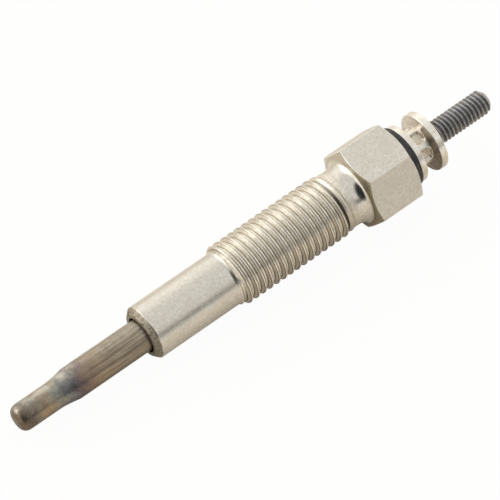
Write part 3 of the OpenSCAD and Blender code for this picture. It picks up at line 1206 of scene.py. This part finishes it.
@dataclass(frozen=True)
class MouldedBlack:
    """Moulded black plastic of the insulating bush.

    Attributes:
        black: The plastic's own tone.
        dusty: Handled, dusty patches.
        rough: Least and most roughness.
        relief: Depth of the moulded grain in millimetres.
    """

    black: Colour = screen_colour(36, 34, 36)
    dusty: Colour = screen_colour(58, 55, 56)
    rough: Range = (0.42, 0.58)
    relief: float = 0.01

    def material(self, axis: PlugAxis, shelf: EffectShelf) -> bpy.types.Material:
        """Builds the finish.

        Args:
            axis: The plug's axis.
            shelf: The shared effects.

        Returns:
            The material.
        """
        recipe = Recipe("moulded_black", axis)
        dust = shelf.mottle.place(recipe, Scale=0.7, Edge=0.2)
        tone = recipe.mix(dust.outputs["Mask"], self.black, self.dusty)
        rough = recipe.spread(dust.outputs["Specks"], 0.0, 1.0, *self.rough)
        recipe.set(Base_Color=tone, Roughness=rough, Metallic=0.0)
        recipe.bump(dust.outputs["Specks"], self.relief, strength=0.5)
        return recipe.material


@dataclass(frozen=True)
class PlainGrain:
    """A grained finish for the pieces inside the plug.

    Attributes:
        name: The material's name.
        first: The main tone.
        second: The tone of its grain.
        scale: Grains to the millimetre.
        metal: How metallic it is.
        rough: The least roughness.
        rougher: How much the roughness varies.
        relief: Depth of the grain in millimetres.
    """

    name: str
    first: Colour
    second: Colour
    scale: float
    metal: float
    rough: float
    rougher: float = 0.15
    relief: float = 0.01

    def material(self, axis: PlugAxis, shelf: EffectShelf) -> bpy.types.Material:
        """Builds the finish.

        Args:
            axis: The plug's axis.
            shelf: The shared effects.

        Returns:
            The material.
        """
        recipe = Recipe(self.name, axis)
        grain = shelf.mottle.place(recipe, Scale=self.scale, Edge=0.2)
        tone = recipe.mix(grain.outputs["Mask"], self.first, self.second)
        rough = recipe.spread(grain.outputs["Specks"], 0.0, 1.0, self.rough, self.rough + self.rougher)
        recipe.set(Base_Color=tone, Roughness=rough, Metallic=self.metal)
        recipe.bump(grain.outputs["Specks"], self.relief, strength=0.4)
        return recipe.material


# Pieces


class PlugPiece:
    """What every turned piece of the plug has in common.

    Attributes:
        node: The solid that the piece stands for.
        slot: The record's material slot.
        smooth_below: Angle in degrees below which edges are shaded smooth.
    """

    node = ""
    slot = ""
    smooth_below = 32.0

    def model(self) -> bpy.types.Object:
        """Models the piece on the bench."""
        raise NotImplementedError(self.node)

    def dress(self, piece: bpy.types.Object, finish: bpy.types.Material) -> None:
        """Gives the piece its finish."""
        piece.data.materials.clear()
        piece.data.materials.append(finish)

    def build(self, axis: PlugAxis, finish: bpy.types.Material) -> bpy.types.Object:
        """Models the piece, lays it in place, dresses it and sets it on the frame.

        Args:
            axis: The plug's axis.
            finish: The piece's material.

        Returns:
            The finished piece.
        """
        piece = self.model()
        Lathe.smooth(piece, self.smooth_below)
        axis.lay(piece)
        self.dress(piece, finish)
        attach(piece, "root")
        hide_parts(self.node)
        return piece


@dataclass
class Housing(PlugPiece):
    """The housing: nose, seat, mounting thread, neck and hexagon, bored through. Sizes in millimetres."""

    nose_face: float = 21.85
    nose_r: float = 4.2
    seat_chamfer: float = 0.75
    mouth_r: float = 2.78
    mouth_depth: float = 1.6
    sheath_r: float = 2.5
    sheath_end: float = 41.85
    rod_bore_r: float = 2.3
    heel_round: float = 0.85
    heel_turn: float = 40.0
    heel_steps: int = 6
    thread_foot: float = 36.8
    thread_end: float = 57.95
    thread_r: float = 4.93
    thread_pitch: float = 1.25
    thread_depth: float = 0.58
    thread_crest: float = 0.17
    thread_root: float = 0.2
    thread_lead: float = 0.6
    thread_fade: float = 2.9
    thread_crest_at: float = 38.206
    neck_r: float = 4.55
    sweep_rise: float = 1.0
    sweep_len: float = 1.9
    sweep_steps: int = 12
    hex_front: float = 59.95
    hex_back: float = 68.35
    hex_sides: int = 6
    hex_af: float = 12.0
    hex_face_r: float = 5.65
    hex_edge: float = 0.07
    hex_edge_steps: int = 2
    blank_r: float = 7.0
    chamfer_angle: float = 26.0
    counterbore_r: float = 3.8
    counterbore_floor: float = 63.85
    front_round: float = 0.05
    back_round: float = 0.12
    counterbore_round: float = 0.15
    mouth_round: float = 0.1
    seat_round: float = 0.12
    nose_round: float = 0.16
    least_flat_area: float = 20.0
    most_edge_area: float = 2.0
    most_lean: float = 0.01

    node = "housing"
    slot = "plated_steel"
    smooth_below = 30.0

    def thread(self) -> ScrewThread:
        """Gives the mounting thread, chamfered at the nose and run out into the neck.

        Returns:
            The thread.
        """
        return ScrewThread(
            crest_r=self.thread_r,
            depth=self.thread_depth,
            pitch=self.thread_pitch,
            low=self.thread_foot,
            high=self.thread_end,
            low_r=self.heel()[-1].r,
            high_r=self.neck_r,
            low_run=self.thread_lead,
            high_run=self.thread_fade,
            low_end=ThreadEnd.CHAMFER,
            high_end=ThreadEnd.FADE,
            crest_at=self.thread_crest_at,
            crest_flat=self.thread_crest,
            root_flat=self.thread_root,
        )

    def heel(self) -> list[Corner]:
        """Draws the hollow corner between the nose and the thread's start.

        Returns:
            The corner's points, from the nose.
        """
        turn = math.radians(self.heel_turn)
        start = Corner(self.nose_r, self.thread_foot - self.heel_round * math.sin(turn))
        return Lathe.hollow(start, self.heel_round, self.heel_round, turn, self.heel_steps)

    def sweep(self) -> list[Corner]:
        """Draws the hollow sweep from the neck up to the hexagon's front face."""
        start = Corner(self.neck_r, self.hex_front - self.sweep_len)
        return Lathe.hollow(start, self.sweep_rise, self.sweep_len, FULL_TURN / 4.0, self.sweep_steps)

    def profile(self) -> Profile:
        """Draws the body from the thread's end, over the hexagon's blank and through the bore, to the heel.

        Returns:
            The profile's points.
        """
        drop = (self.blank_r - self.hex_face_r) * math.tan(math.radians(self.chamfer_angle))
        corners = [
            Corner(self.neck_r, self.thread_end),
            *self.sweep(),
            Corner(self.hex_face_r, self.hex_front, self.front_round),
            Corner(self.blank_r, self.hex_front + drop),
            Corner(self.blank_r, self.hex_back - drop),
            Corner(self.hex_face_r, self.hex_back, self.back_round),
            Corner(self.counterbore_r, self.hex_back, self.counterbore_round),
            Corner(self.counterbore_r, self.counterbore_floor),
            Corner(self.rod_bore_r, self.counterbore_floor),
            Corner(self.rod_bore_r, self.sheath_end),
            Corner(self.sheath_r, self.sheath_end),
            Corner(self.sheath_r, self.nose_face + self.mouth_depth),
            Corner(self.mouth_r, self.nose_face + self.mouth_depth),
            Corner(self.mouth_r, self.nose_face, self.mouth_round),
            Corner(self.nose_r - self.seat_chamfer, self.nose_face, self.seat_round),
            Corner(self.nose_r, self.nose_face + self.seat_chamfer, self.nose_round),
            *self.heel(),
        ]
        return Lathe.rounded(corners)

    def flats(self, piece: bpy.types.Object) -> list[bpy.types.MeshPolygon]:
        """Finds the hexagon's flats by their size, because all other upright faces are narrow.

        Args:
            piece: The housing on the bench.

        Returns:
            The faces of the flats.
        """
        upright = [face for face in piece.data.polygons if abs(face.normal.z) < self.most_lean]
        return [face for face in upright if face.area > self.least_flat_area]

    def mill_hexagon(self, piece: bpy.types.Object) -> None:
        """Cuts the six flats from the blank, breaks their edges and marks both for the finish.

        Args:
            piece: The turned housing.
        """
        reach = self.hex_af / 2.0
        bpy.ops.object.mode_set(mode="EDIT")
        for side in range(self.hex_sides):
            angle = FULL_TURN / self.hex_sides * side
            normal = Vector((math.cos(angle), math.sin(angle), 0.0))
            bpy.ops.mesh.select_all(action="SELECT")
            bpy.ops.mesh.bisect(plane_co=normal * reach, plane_no=normal, use_fill=True, clear_outer=True)
        bpy.ops.mesh.select_all(action="DESELECT")
        bpy.ops.object.mode_set(mode="OBJECT")
        rims = {key for face in self.flats(piece) for key in face.edge_keys}
        for edge in piece.data.edges:
            edge.select = edge.key in rims
        bpy.ops.object.mode_set(mode="EDIT")
        bpy.ops.mesh.select_mode(type="EDGE")
        bpy.ops.mesh.bevel(
            offset=self.hex_edge, segments=self.hex_edge_steps, affect="EDGES", clamp_overlap=True)
        bpy.ops.object.mode_set(mode="OBJECT")
        # The bevels' faces are marked here for the finish's painted highlight.
        rubbed = piece.data.attributes.new(EDGE, "FLOAT", "FACE")
        for face in piece.data.polygons:
            rubbed.data[face.index].value = float(face.select and face.area < self.most_edge_area)
        satin = piece.data.attributes.new(FLAT, "FLOAT", "FACE")
        rims = set()
        for face in self.flats(piece):
            satin.data[face.index].value = 1.0
            rims.update(face.edge_keys)
        for edge in piece.data.edges:
            edge.use_edge_sharp = edge.key in rims

    def model(self) -> bpy.types.Object:
        """Turns the body, joins the thread to it and mills the hexagon.

        Returns:
            The housing on the bench.
        """
        thread = self.thread()
        piece = Lathe.chain("housing_body", self.profile())
        Lathe.spin(piece)
        Lathe.join(piece, thread.build("housing_thread"))
        self.mill_hexagon(piece)
        thread.mark_grooves(piece)
        return piece


@dataclass
class HeaterSheath(PlugPiece):
    """The heater's closed tube, swaged down to a thin tip. Sizes in millimetres."""

    sheath_r: float = 2.5
    tip_r: float = 2.08
    tip_len: float = 6.2
    taper_len: float = 3.3
    tip_round: float = 1.45
    sheath_wall: float = 0.75
    tip_wall: float = 1.0
    sheath_end: float = 41.85
    taper_steps: int = 10
    taper_bend: float = 1.7
    taper_round: float = 0.2
    taper_foot: float = 0.3
    hollow_round: float = 0.3
    round_steps: int = 8

    node = "heater_sheath"
    slot = "heat_tinted_alloy"

    def taper(self) -> list[Corner]:
        """Draws the swaged taper from the full tube to the tip, hollow at its foot and sharper at its top.

        Returns:
            The taper's corners, from the full tube.
        """
        corners = [Corner(self.sheath_r, self.tip_len + self.taper_len, self.taper_round)]
        for step in range(self.taper_steps - 1, -1, -1):
            share = step / self.taper_steps
            radius = self.tip_r + (self.sheath_r - self.tip_r) * share ** self.taper_bend
            corners.append(Corner(radius, self.tip_len + self.taper_len * share))
        corners.append(Corner(self.tip_r, self.tip_len - self.taper_foot))
        return corners

    def model(self) -> bpy.types.Object:
        """Turns the tube with its hollow.

        Returns:
            The sheath on the bench.
        """
        corners = [
            Corner(0.0, self.tip_wall),
            Corner(self.tip_r - self.sheath_wall, self.tip_wall, self.hollow_round),
            Corner(self.tip_r - self.sheath_wall, self.tip_len),
            Corner(self.sheath_r - self.sheath_wall, self.tip_len + self.taper_len),
            Corner(self.sheath_r - self.sheath_wall, self.sheath_end),
            Corner(self.sheath_r, self.sheath_end),
        ]
        corners += self.taper()
        corners += [Corner(self.tip_r, 0.0, self.tip_round), Corner(0.0, 0.0)]
        piece = Lathe.chain("heater_tube", Lathe.rounded(corners, self.round_steps))
        Lathe.spin(piece)
        return piece


@dataclass
class CentreRod(PlugPiece):
    """The centre rod with its coil pin and, outside, the terminal stud's thread. Sizes in millimetres."""

    pin_end: float = 27.45
    pin_r: float = 0.6
    tail_start: float = 30.45
    tail_r: float = 1.2
    tail_end: float = 43.05
    rod_r: float = 1.75
    stud_start: float = 74.0
    stud_end: float = 85.449
    stud_r: float = 1.92
    stud_pitch: float = 0.7
    stud_depth: float = 0.38
    stud_chamfer: float = 0.65
    start_run: float = 0.5
    edge_round: float = 0.1
    round_steps: int = 3

    node = "centre_rod"
    slot = "dark_steel"

    def thread(self) -> ScrewThread:
        """Gives the stud's thread, chamfered at its free end.

        Returns:
            The thread.
        """
        return ScrewThread(
            crest_r=self.stud_r,
            depth=self.stud_depth,
            pitch=self.stud_pitch,
            low=self.stud_start,
            high=self.stud_end,
            low_r=self.rod_r,
            high_r=self.stud_r - self.stud_chamfer,
            low_run=self.start_run,
            high_run=self.stud_chamfer,
            low_end=ThreadEnd.FADE,
            high_end=ThreadEnd.CHAMFER,
            crest_at=self.stud_start,
        )

    def model(self) -> bpy.types.Object:
        """Turns the rod and joins the stud's thread to it.

        Returns:
            The rod on the bench.
        """
        corners = [
            Corner(0.0, self.pin_end),
            Corner(self.pin_r, self.pin_end, self.edge_round),
            Corner(self.pin_r, self.tail_start),
            Corner(self.tail_r, self.tail_start, self.edge_round),
            Corner(self.tail_r, self.tail_end),
            Corner(self.rod_r, self.tail_end, self.edge_round),
            Corner(self.rod_r, self.stud_start),
        ]
        piece = Lathe.chain("rod_body", Lathe.rounded(corners, self.round_steps))
        Lathe.spin(piece)
        thread = self.thread()
        end = Lathe.chain("rod_end", [(thread.high_r, self.stud_end), (0.0, self.stud_end)])
        Lathe.spin(end)
        Lathe.join(piece, thread.build("rod_stud"))
        Lathe.join(piece, end)
        thread.mark_grooves(piece)
        return piece


@dataclass
class InsulatingBush(PlugPiece):
    """The black flanged bush behind the hexagon. Sizes in millimetres."""

    bore_r: float = 1.96
    spigot_r: float = 3.78
    spigot_end: float = 65.96
    hex_back: float = 68.35
    flange_r: float = 4.95
    flange_draft: float = 0.08
    flange_top: float = 69.6
    rim_round: float = 0.16
    spigot_round: float = 0.15

    node = "insulating_bush"
    slot = "black_plastic"

    def model(self) -> bpy.types.Object:
        """Turns the bush: spigot, flange and bore.

        Returns:
            The bush on the bench.
        """
        corners = [
            Corner(self.bore_r, self.flange_top),
            Corner(self.bore_r, self.spigot_end),
            Corner(self.spigot_r, self.spigot_end, self.spigot_round),
            Corner(self.spigot_r, self.hex_back),
            Corner(self.flange_r, self.hex_back, self.rim_round),
            Corner(self.flange_r - self.flange_draft, self.flange_top, self.rim_round),
            Corner(self.bore_r, self.flange_top),
        ]
        piece = Lathe.chain("bush_moulding", Lathe.rounded(corners))
        Lathe.spin(piece)
        return piece


@dataclass
class TerminalCollar(PlugPiece):
    """The terminal collar: base ring, crimped neck and flange. Sizes in millimetres."""

    bore_r: float = 1.96
    base_low: float = 69.6
    base_r: float = 4.65
    base_top: float = 70.65
    waist_r: float = 3.0
    waist_top: float = 73.12
    flange_r: float = 4.7
    flange_top: float = 74.45
    flange_cone: float = 0.18
    countersink: float = 0.18
    rim_round: float = 0.16
    crimp_count: int = 6
    crimp_turn: float = 5.0
    crimp_w: float = 1.9
    crimp_len: float = 1.65
    crimp_shift: float = 0.14
    crimp_depth: float = 0.5
    crimp_round: float = 3.6
    crimp_ease: float = 0.24
    waist_round: float = 0.14
    waist_rows: int = 44
    waist_slack: float = 0.02
    steps: int = 264

    node = "terminal_collar"
    slot = "collar_plate"
    smooth_below = 55.0

    def profile(self) -> Profile:
        """Draws the collar with close rows on its neck, where the crimps go.

        Returns:
            The profile's points.
        """
        row_len = (self.waist_top - self.base_top) / self.waist_rows
        corners = [
            Corner(self.bore_r, self.flange_top - self.countersink),
            Corner(self.bore_r, self.base_low),
            Corner(self.base_r, self.base_low, self.rim_round),
            Corner(self.base_r, self.base_top, self.rim_round),
            Corner(self.waist_r, self.base_top, self.waist_round),
        ]
        for row in range(2, self.waist_rows - 1):
            corners.append(Corner(self.waist_r, self.base_top + row_len * row))
        corners += [
            Corner(self.waist_r, self.waist_top, self.waist_round),
            Corner(self.flange_r, self.waist_top + self.flange_cone, self.rim_round),
            Corner(self.flange_r, self.flange_top, self.rim_round),
            Corner(self.bore_r + self.countersink, self.flange_top),
            Corner(self.bore_r, self.flange_top - self.countersink),
        ]
        return Lathe.rounded(corners)

    def press_crimps(self, piece: bpy.types.Object) -> None:
        """Presses the flat pads of the crimping tool into the neck and marks them.

        Args:
            piece: The turned collar.
        """
        pads = piece.data.attributes.new(CRIMP, "FLOAT", "POINT")
        middle = (self.base_top + self.waist_top) / 2.0 + self.crimp_shift
        half_len = self.crimp_len / 2.0
        half_w = self.crimp_w / 2.0
        pad_r = self.waist_r - self.crimp_depth
        sector = FULL_TURN / self.crimp_count
        for vertex in piece.data.vertices:
            radius = math.hypot(vertex.co.x, vertex.co.y)
            on_neck = self.base_top < vertex.co.z < self.waist_top
            if not on_neck or abs(radius - self.waist_r) > self.waist_slack:
                continue
            angle = math.atan2(vertex.co.y, vertex.co.x) - math.radians(self.crimp_turn)
            off = angle - sector * round(angle / sector)
            sideways = abs(radius * math.sin(off)) / half_w
            lengthways = abs(vertex.co.z - middle) / half_len
            out = lengthways ** self.crimp_round + sideways ** self.crimp_round
            out = out ** (1.0 / self.crimp_round)
            inside = 1.0 - ease(out, 1.0 - self.crimp_ease, 1.0 + self.crimp_ease)
            pressed = min(radius, pad_r / math.cos(off))
            share = (radius - (radius - pressed) * inside) / radius
            vertex.co.x *= share
            vertex.co.y *= share
            pads.data[vertex.index].value = inside

    def model(self) -> bpy.types.Object:
        """Turns the collar and crimps its neck.

        Returns:
            The collar on the bench.
        """
        piece = Lathe.chain("collar_turning", self.profile())
        Lathe.spin(piece, self.steps)
        self.press_crimps(piece)
        return piece


@dataclass
class InnerPieces:
    """The pieces inside the plug, whose solids are shown as they are.

    Attributes:
        powder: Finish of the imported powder.
        heating: Finish of the heating coil.
        control: Finish of the control coil.
        rubber: Finish of the seal and the sealing ring.
    """

    powder: PlainGrain = PlainGrain(
        "packed_powder", screen_colour(226, 222, 212), screen_colour(198, 193, 182), 3.0, 0.0, 0.8)
    heating: PlainGrain = PlainGrain(
        "heating_wire", screen_colour(176, 160, 142), screen_colour(120, 104, 92), 2.0, 0.9, 0.35)
    control: PlainGrain = PlainGrain(
        "control_wire", screen_colour(188, 184, 176), screen_colour(150, 146, 138), 2.0, 0.95, 0.28)
    rubber: PlainGrain = PlainGrain(
        "seal_rubber", screen_colour(44, 44, 47), screen_colour(66, 65, 67), 1.5, 0.0, 0.6)

    def dress(self, axis: PlugAxis, shelf: EffectShelf) -> None:
        """Gives each inner node its finish.

        Args:
            axis: The plug's axis.
            shelf: The shared effects.
        """
        rubber = self.rubber.material(axis, shelf)
        finishes = {
            "magnesia_filling": self.powder.material(axis, shelf),
            "heating_coil": self.heating.material(axis, shelf),
            "control_coil": self.control.material(axis, shelf),
            "sheath_seal": rubber,
            "sealing_ring": rubber,
        }
        for name, finish in finishes.items():
            solid = frame["nodes"][name]
            if not solid.material_slots:
                solid.data.materials.append(finish)
            for place in solid.material_slots:
                place.material = finish
            LOG.info("dressed %s", name)


# Studio and camera


@dataclass(frozen=True)
class Studio:
    """A pale floor in a light tent, brighter behind, with a dim strip low on the camera's side.

    Attributes:
        floor_size: Side of the floor in metres.
        floor_tone: Colour of the floor.
        floor_glow: Share of plain white in the floor that the camera sees.
        floor_mirrored: Share of plain white in the floor that shiny pieces mirror.
        floor_far: That share behind the plug, where the floor is lit by the back wall.
        tent_walls: Light of the tent's side walls.
        tent_back: Light of its back wall.
        tent_side: Light of the wall past the heater's end.
        tent_roof: Light of its roof.
        tent_front: Light of the dim strip on the camera's side.
        stand_tone: Light of the camera's stand.
        stand: Direction of the camera's stand.
        back_from: Backward part of a direction where the back wall's light starts and is full.
        side_from: Sideways part where the light past the heater's end is full and ends.
        roof_from: Upward part where the roof's light starts and is full.
        front_from: Backward part where the dim strip is full and ends.
        strip_low: Upward part where the dim strip starts and is full.
        strip_high: Upward part where it is still full and where it ends.
        stand_rim: Nearness to the stand's direction where its rim starts and ends.
        far_from: Where the far part of the floor starts and is full, in metres.
        lamp_power: Power of the soft lamp in watts.
        lamp_size: Side of the soft lamp in metres.
        lamp_place: Place of the soft lamp.
    """

    floor_size: float = 3.0
    floor_tone: Colour = (0.94, 0.865, 0.76, 1.0)
    floor_glow: float = 0.96
    floor_mirrored: float = 0.05
    floor_far: float = 0.6
    tent_walls: Colour = (1.0, 0.98, 0.95, 1.0)
    tent_back: Colour = (1.24, 1.22, 1.18, 1.0)
    tent_side: Colour = (1.4, 1.37, 1.31, 1.0)
    tent_roof: Colour = (0.88, 0.88, 0.865, 1.0)
    tent_front: Colour = (0.17, 0.163, 0.155, 1.0)
    stand_tone: Colour = (0.03, 0.032, 0.038, 1.0)
    stand: tuple[float, float, float] = (-0.56, -0.6, 0.57)
    back_from: Range = (0.2, 0.8)
    side_from: Range = (-0.95, -0.7)
    roof_from: Range = (0.5, 0.85)
    front_from: Range = (-0.7, -0.15)
    strip_low: Range = (0.1, 0.36)
    strip_high: Range = (0.38, 0.64)
    stand_rim: Range = (0.81, 0.89)
    far_from: Range = (0.0, 0.15)
    lamp_power: float = 2.4
    lamp_size: float = 0.5
    lamp_place: tuple[float, float, float] = (-0.5, 0.56, 0.29)

    def lay_floor(self) -> None:
        """Lays the floor, white to the camera but keeping the plug's shadow."""
        bpy.ops.object.select_all(action="DESELECT")
        bpy.ops.mesh.primitive_plane_add(size=self.floor_size, location=(0.0, 0.0, 0.0))
        floor = bpy.context.object
        floor.name = "floor"
        material = bpy.data.materials.new("pale_floor")
        material.use_nodes = True
        bench = NodeBench(material.node_tree)
        matt = material.node_tree.nodes["Principled BSDF"]
        matt.inputs["Base Color"].default_value = self.floor_tone
        matt.inputs["Roughness"].default_value = 1.0
        matt.inputs["Specular IOR Level"].default_value = 0.0
        glow = bench.add("ShaderNodeEmission")
        rays = bench.add("ShaderNodeLightPath")
        mirrored = bench.math("MAXIMUM", rays.outputs["Is Glossy Ray"], rays.outputs["Is Transmission Ray"])
        place = bench.add("ShaderNodeSeparateXYZ")
        bench.feed(place.inputs[0], bench.add("ShaderNodeTexCoord").outputs["Object"])
        far = bench.spread(place.outputs[1], *self.far_from, self.floor_mirrored, self.floor_far)
        mirrored = bench.product(mirrored, far)
        seen = bench.product(rays.outputs["Is Camera Ray"], self.floor_glow)
        blend = bench.add("ShaderNodeMixShader")
        bench.feed(blend.inputs[0], bench.math("MAXIMUM", seen, mirrored))
        bench.feed(blend.inputs[1], matt.outputs[0])
        bench.feed(blend.inputs[2], glow.outputs[0])
        bench.feed(material.node_tree.nodes["Material Output"].inputs["Surface"], blend.outputs[0])
        floor.data.materials.append(material)

    def hang_tent(self) -> None:
        """Hangs the light tent with its bright back wall and its dim front strip."""
        world = bpy.data.worlds.new("light_tent")
        bpy.context.scene.world = world
        world.use_nodes = True
        bench = NodeBench(world.node_tree)
        outward = bench.add("ShaderNodeTexCoord").outputs["Generated"]
        parts = bench.add("ShaderNodeSeparateXYZ")
        bench.feed(parts.inputs[0], outward)
        right, back, up = parts.outputs
        tone = bench.mix(bench.spread(back, *self.back_from), self.tent_walls, self.tent_back)
        tone = bench.mix(bench.spread(right, *self.side_from, 1.0, 0.0), tone, self.tent_side)
        tone = bench.mix(bench.spread(up, *self.roof_from), tone, self.tent_roof)
        front = bench.spread(back, *self.front_from, 1.0, 0.0)
        above = bench.spread(up, *self.strip_low)
        below = bench.spread(up, *self.strip_high, 1.0, 0.0)
        tone = bench.mix(bench.product(front, above, below), tone, self.tent_front)
        toward = bench.add("ShaderNodeVectorMath", operation="DOT_PRODUCT")
        bench.feed(toward.inputs[0], outward)
        bench.feed(toward.inputs[1], self.stand)
        tone = bench.mix(bench.spread(toward.outputs["Value"], *self.stand_rim), tone, self.stand_tone)
        bench.feed(world.node_tree.nodes["Background"].inputs["Color"], tone)

    def hang_lamp(self) -> None:
        """Hangs the soft lamp behind the plug, on the heater's side."""
        bpy.ops.object.select_all(action="DESELECT")
        bpy.ops.object.light_add(type="AREA", location=self.lamp_place)
        lamp = bpy.context.object
        lamp.name = "soft_lamp"
        lamp.data.size = self.lamp_size
        lamp.data.energy = self.lamp_power
        lamp.rotation_euler = (-Vector(self.lamp_place)).to_track_quat("-Z", "Y").to_euler()

    def build(self) -> None:
        """Sets up the whole studio."""
        self.lay_floor()
        self.hang_tent()
        self.hang_lamp()
        bpy.context.scene.view_settings.view_transform = "Standard"


@dataclass(frozen=True)
class PhotoCamera:
    """The camera at the photograph's viewing angle.

    Attributes:
        azimuth: Angle round the plug in degrees.
        elevation: Angle above the floor in degrees.
        distance: Distance in metres.
        slide: Sideways and upward move of the camera in metres.
        aim_height: Height of the point that it is aimed at.
        lens: Focal length in millimetres.
        sensor: Width of the film in millimetres.
        roll: Turn about the view in degrees.
        near: Nearest distance that is drawn, in metres.
        far: Farthest distance that is drawn, in metres.
    """

    azimuth: float = 41.6722
    elevation: float = 57.0763
    distance: float = 0.442143
    slide: tuple[float, float] = (-0.0011187, 0.0008213)
    aim_height: float = 0.005
    lens: float = 223.718
    sensor: float = 36.0
    roll: float = 3.63597
    near: float = 0.01
    far: float = 10.0

    def build(self) -> None:
        """Places the camera and makes it the scene's own."""
        turn = math.radians(self.azimuth)
        lift = math.radians(self.elevation)
        roll = math.radians(self.roll)
        back = Vector((-math.cos(lift) * math.sin(turn), -math.cos(lift) * math.cos(turn), math.sin(lift)))
        right = Vector((math.cos(turn), -math.sin(turn), 0.0))
        up = Vector((math.sin(lift) * math.sin(turn), math.sin(lift) * math.cos(turn), math.cos(lift)))
        place = back * self.distance + right * self.slide[0] + up * self.slide[1]
        place.z += self.aim_height
        side = right * math.cos(roll) + up * math.sin(roll)
        top = up * math.cos(roll) - right * math.sin(roll)
        bpy.ops.object.select_all(action="DESELECT")
        bpy.ops.object.camera_add()
        camera = bpy.context.object
        camera.name = "photo_camera"
        camera.data.sensor_width = self.sensor
        camera.data.lens = self.lens
        camera.data.clip_start = self.near
        camera.data.clip_end = self.far
        turned = Matrix((side, top, back)).transposed().to_4x4()
        camera.matrix_world = Matrix.Translation(place) @ turned
        bpy.context.scene.camera = camera


def report(piece: bpy.types.Object) -> None:
    """Logs a piece's triangles and open edges.

    Args:
        piece: The finished piece.
    """
    counts = {}
    for face in piece.data.polygons:
        for key in face.edge_keys:
            counts[key] = counts.get(key, 0) + 1
    loose = sum(1 for count in counts.values() if count != 2)
    triangles = sum(len(face.vertices) - 2 for face in piece.data.polygons)
    LOG.info("%s: %d triangles, %d open edges", piece.name, triangles, loose)


def main() -> None:
    """Builds the plug's pieces, the studio and the camera."""
    logging.basicConfig(level=logging.INFO, format="%(name)s: %(message)s")
    housing = Housing()
    axis = PlugAxis.from_record(frame["record"], housing.nose_face)
    shelf = EffectShelf.stock()
    work = [
        (housing, NickelPlate()),
        (HeaterSheath(), TintedAlloy()),
        (CentreRod(), DarkSteel()),
        (InsulatingBush(), MouldedBlack()),
        (TerminalCollar(), CollarPlate()),
    ]
    for maker, finish in work:
        report(maker.build(axis, finish.material(axis, shelf)))
    InnerPieces().dress(axis, shelf)
    Studio().build()
    PhotoCamera().build()


if __name__ == "__main__":
    main()
